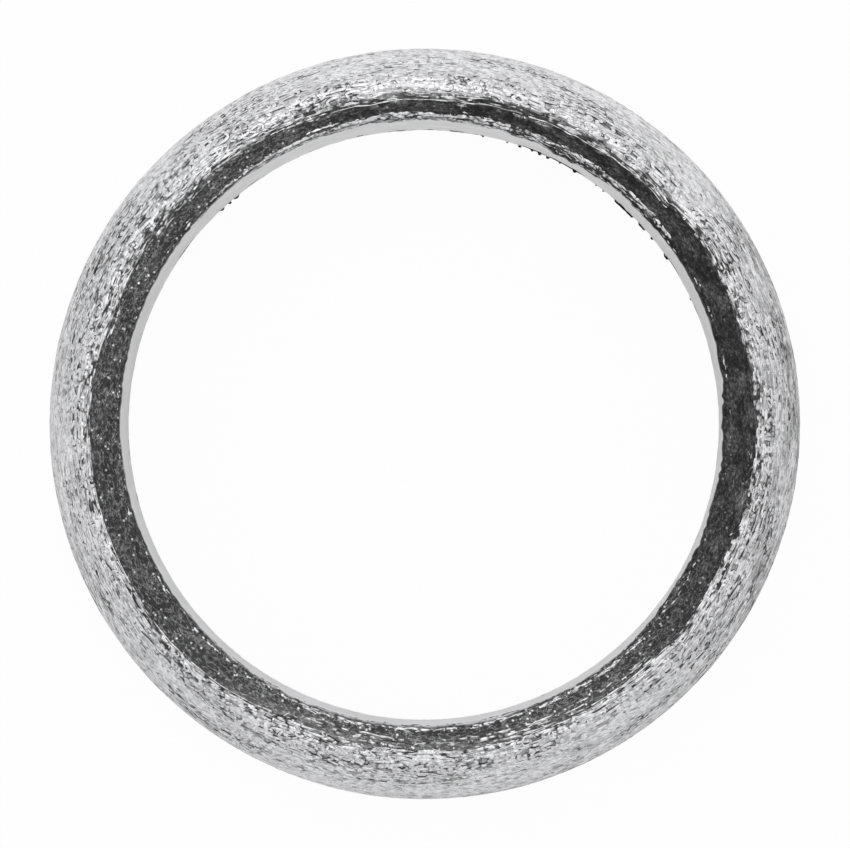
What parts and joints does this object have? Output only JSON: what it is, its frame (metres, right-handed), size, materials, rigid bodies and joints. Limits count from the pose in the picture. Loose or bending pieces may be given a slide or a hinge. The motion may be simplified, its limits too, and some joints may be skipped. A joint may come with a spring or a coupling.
{
  "type": "exhaust gasket",
  "caption": "Ring-shaped exhaust gasket of pressed knitted wire and graphite, with a ball seat outside, a narrow nose face and a straight bore for the pipe.",
  "frame": {"origin": "on the axis of the bore, in the plane of the flat back face that the ring lies on", "axes": "+Z along the bore axis, from the wide back face to the narrow nose; the ring is round about Z, so X and Y are free"},
  "size_m": [0.0684, 0.0684, 0.016],
  "materials": {
    "pressed_wire_graphite": "burnished knitted stainless wire with graphite in its gaps, silvery on the ball seat and dark on the nose"
  },
  "bodies": {
    "root": {"gasket_ring": "pressed_wire_graphite"}
  },
  "joints": []
}
